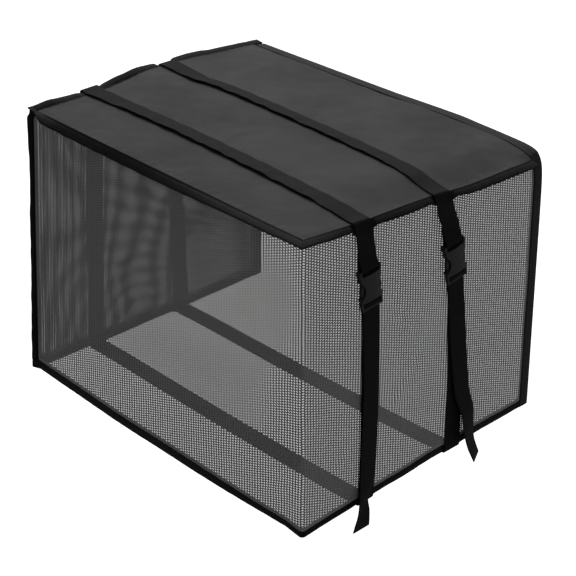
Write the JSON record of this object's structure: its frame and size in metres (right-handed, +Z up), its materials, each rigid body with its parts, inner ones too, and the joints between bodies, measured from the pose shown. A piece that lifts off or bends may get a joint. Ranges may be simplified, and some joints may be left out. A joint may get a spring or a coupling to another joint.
{
  "type": "air conditioner cover",
  "caption": "Box-shaped outdoor cover of see-through mesh with a coated cloth top, open below and towards the window, held by webbing straps with side release buckles.",
  "frame": {"origin": "middle of the top, at the underside of the top panel, where it rests on what it covers", "axes": "+X to the side with the buckles and along the longest extent, +Y to the open window side, -Y to the outdoor face, +Z up"},
  "size_m": [0.5664, 0.4185, 0.4293],
  "materials": {
    "oxford": "coated plain weave, dull sheen",
    "mesh": "open mesh with small staggered holes",
    "tape": "woven binding tape, matte",
    "webbing": "ribbed webbing, matte",
    "plastic": "moulded, satin"
  },
  "bodies": {
    "root": {"top_panel": "oxford", "mesh_wrap": "mesh", "mesh_left": "mesh", "seam_tape_front": "tape", "seam_tape_right": "tape", "seam_tape_left": "tape", "seam_tape_corner": "tape", "hem_tape": "tape", "opening_tape": "tape", "strap_1": "webbing", "strap_2": "webbing", "buckle_1_socket": "plastic", "buckle_1_plug": "plastic", "buckle_2_socket": "plastic", "buckle_2_plug": "plastic"}
  },
  "joints": []
}
